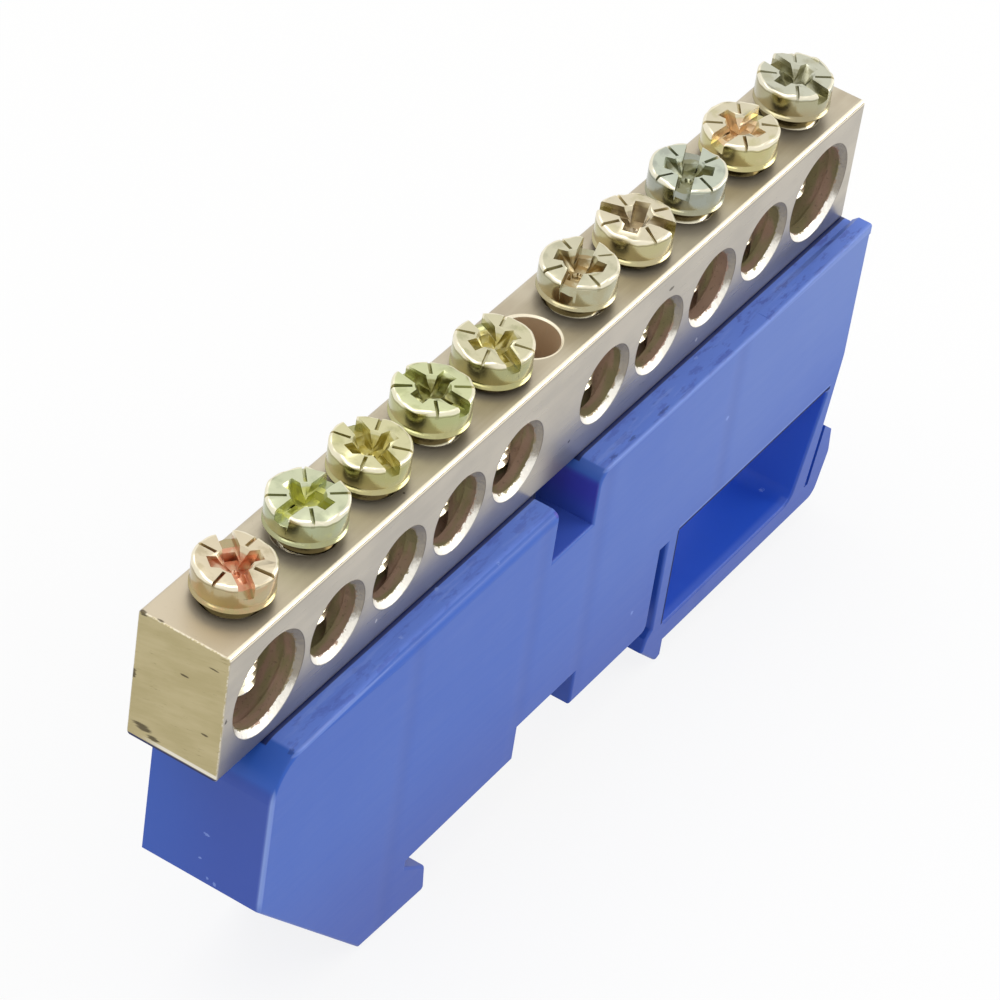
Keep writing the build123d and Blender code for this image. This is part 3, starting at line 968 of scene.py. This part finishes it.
plating = {
    "rimHighlight": colour(248, 240, 216),
    "lineShade": colour(112, 102, 66),
    "neckShade": colour(92, 80, 50),
    "shankTint": colour(246, 238, 212),
    "roughness": 0.16,
    "roughnessMore": {"fine": 0.06, "face": 0.12, "pit": 0.16},
    "shankDullness": 0.1,
    "bumpStrength": 0.30,
    "bumpDepth": 0.06,
    # Noise: how far it is squeezed along X, Y and Z, then its scale, detail and roughness
    "wave": ((1, 1, 0.3), 0.42, 2),
    "cloud": ((1, 1, 1), 0.55, 4, 0.6),
    "tint": ((1, 1, 0.5), 0.35, 3, 0.5),
    "mottle": ((1, 1, 0.8), 0.75, 4, 0.65),
    "fine": ((1, 1, 1), 1.2, 3, 0.5),
    # Heights counted off the head's top, and radii
    "face": (-0.60, -0.42),
    "waveLift": 0.16,
    "waveReach": 0.9,
    "rim": (-0.32, -0.24),
    "rimRadius": (2.82, 2.92),
    "line": (-0.46, -0.36, 0.04),
    "lineRadius": 3.0,
    "pit": (-0.62, -0.46),
    "pitRadius": 2.22,
    "slot": (-0.60, -0.46),
    "slotFloor": -1.05,
    "slotRadii": (2.1, 3.0),
    "nickFloor": -0.75,
    "nickHalfWidth": 0.20,
    # Heights counted off the head's underside
    "pitFloor": 0.3,
    "lowSide": (0.3, 1.5),
    "neckTop": 0.06,
    "shankTop": (-1.35, -1.15),
    # How much noise there has to be for each kind of patch
    "mottled": (0.50, 0.62),
    "clouded": (0.50, 0.66),
    "pitClouded": (0.45, 0.60),
    "tintShare": 2.4,
    "lowShare": 0.7,
}


def makePlating(row):
    x, gap, turn = row[:3]
    topTint, sideTint, lowTint, pitTint = (colour(*tint) for tint in row[3:])
    material, start = startMaterial("rainbowZinc")
    spot = inMillimetres(start, (x, 0, screw["barTop"] + gap), turn)
    px, py, pz = parts(spot)
    radius = (px * px + py * py).root()
    rise = pz - screw["headHeight"]
    wave, cloud, tint, mottle, fine = (noise(spot, *plating[name]) for name in (
        "wave", "cloud", "tint", "mottle", "fine"))
    face = rise.step(*plating["face"])
    # The pressed rim is wavy, with a painted highlight on its crest and a thin painted dark line below it
    crest = rise + plating["waveLift"] + (wave - 0.5) * plating["waveReach"]
    rim = crest.step(*plating["rim"]) * radius.step(*plating["rimRadius"])
    line = crest.band(*plating["line"]) * (radius > plating["lineRadius"])
    pit = (radius < plating["pitRadius"]) * (pz > plating["pitFloor"]) * (1 - rise.step(*plating["pit"]))
    slotFrom, slotTo = plating["slotRadii"]
    slot = (rise > plating["slotFloor"]) * (1 - rise.step(*plating["slot"]))
    slot = slot * (radius < slotTo) * (radius > slotFrom)
    nick = (abs(abs(px) - abs(py)) < plating["nickHalfWidth"]) * (radius > screw["nickFrom"])
    nick = nick * (rise > plating["nickFloor"])
    # The side turns in patches from its upper tint to its lower one
    low = (1 - pz.step(*plating["lowSide"])) * plating["lowShare"] + (tint - 0.5) * plating["tintShare"]
    tone = low.blend(sideTint, lowTint)
    tone = lay(tone, mottle.step(*plating["mottled"]), pitTint, share=0.18)
    tone = lay(tone, face, topTint)
    tone = lay(tone, face * cloud.step(*plating["clouded"]), sideTint, share=0.55)
    tone = lay(tone, slot, pitTint, share=0.4)
    tone = lay(tone, pit, pitTint, share=0.85)
    tone = lay(tone, pit * cloud.step(*plating["pitClouded"]), topTint, share=0.6)
    # Painted shade in the nicks
    tone = lay(tone, nick, plating["lineShade"], share=0.25)
    tone = lay(tone, rim, plating["rimHighlight"], share=0.7)
    tone = lay(tone, line, plating["lineShade"], share=0.45)
    # The head's underside and the neck below it are painted dark as shade under the head, the threaded shank
    # is clean
    shank = 1 - pz.step(*plating["shankTop"])
    tone = lay(tone, (pz < plating["neckTop"]) * (1 - shank), plating["neckShade"])
    tone = lay(tone, shank, plating["shankTint"])
    more = plating["roughnessMore"]
    shader = start.add("ShaderNodeBsdfPrincipled", {}, {
        "Base Color": tone,
        "Metallic": 1 - shank * plating["shankDullness"],
        "Roughness": fine * more["fine"] + face * more["face"] + pit * more["pit"] + plating["roughness"],
        "Normal": bump(fine, plating["bumpStrength"], plating["bumpDepth"] * mm),
    })
    finishMaterial(start, shader)
    return material


def placeScrew(number, row, model, texture):
    x, gap, turn = row[:3]
    head = model.copy()
    head.data = model.data.copy()
    bpy.context.collection.objects.link(head)
    head.rotation_euler = (0, 0, math.radians(turn))
    head.location = (x * mm, 0, (screw["barTop"] + gap) * mm)
    applyPlace(head)
    pressTop(head, gap, texture)
    node = f"clamp_screw_{number:02d}"
    head.name = f"dressed_{node}"
    head.data.materials.clear()
    head.data.materials.append(makePlating(row))
    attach(head, node)
    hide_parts(node)


screwModel = modelScrew()
pressedTexture = bpy.data.textures.new("pressedTop", "CLOUDS")
pressedTexture.noise_scale = screw["pressedGrain"] * mm
pressedTexture.noise_depth = screw["pressedOctaves"]
for number, row in enumerate(screwRows, 1):
    placeScrew(number, row, screwModel, pressedTexture)
    print("clamp screw", number, "placed")
removePiece(screwModel)


# Fixing screw, which shows only through the notch and the recess

zinc = {
    "deep": colour(196, 184, 132),
    "pale": colour(206, 200, 158),
    "cloud": ((1, 1, 1), 0.4, 3, 0.5),
    "clouded": (0.35, 0.65),
    "roughness": 0.2,
    "cloudRoughness": 0.2,
}


def makeZinc():
    material, start = startMaterial("yellowZinc")
    cloud = noise(inMillimetres(start), *zinc["cloud"])
    shader = start.add("ShaderNodeBsdfPrincipled", {}, {
        "Base Color": cloud.step(*zinc["clouded"]).blend(zinc["deep"], zinc["pale"]),
        "Metallic": 1.0,
        "Roughness": cloud * zinc["cloudRoughness"] + zinc["roughness"],
    })
    finishMaterial(start, shader)
    return material


dress("fixing_screw", makeZinc())
print("fixing screw dressed")


print("done")
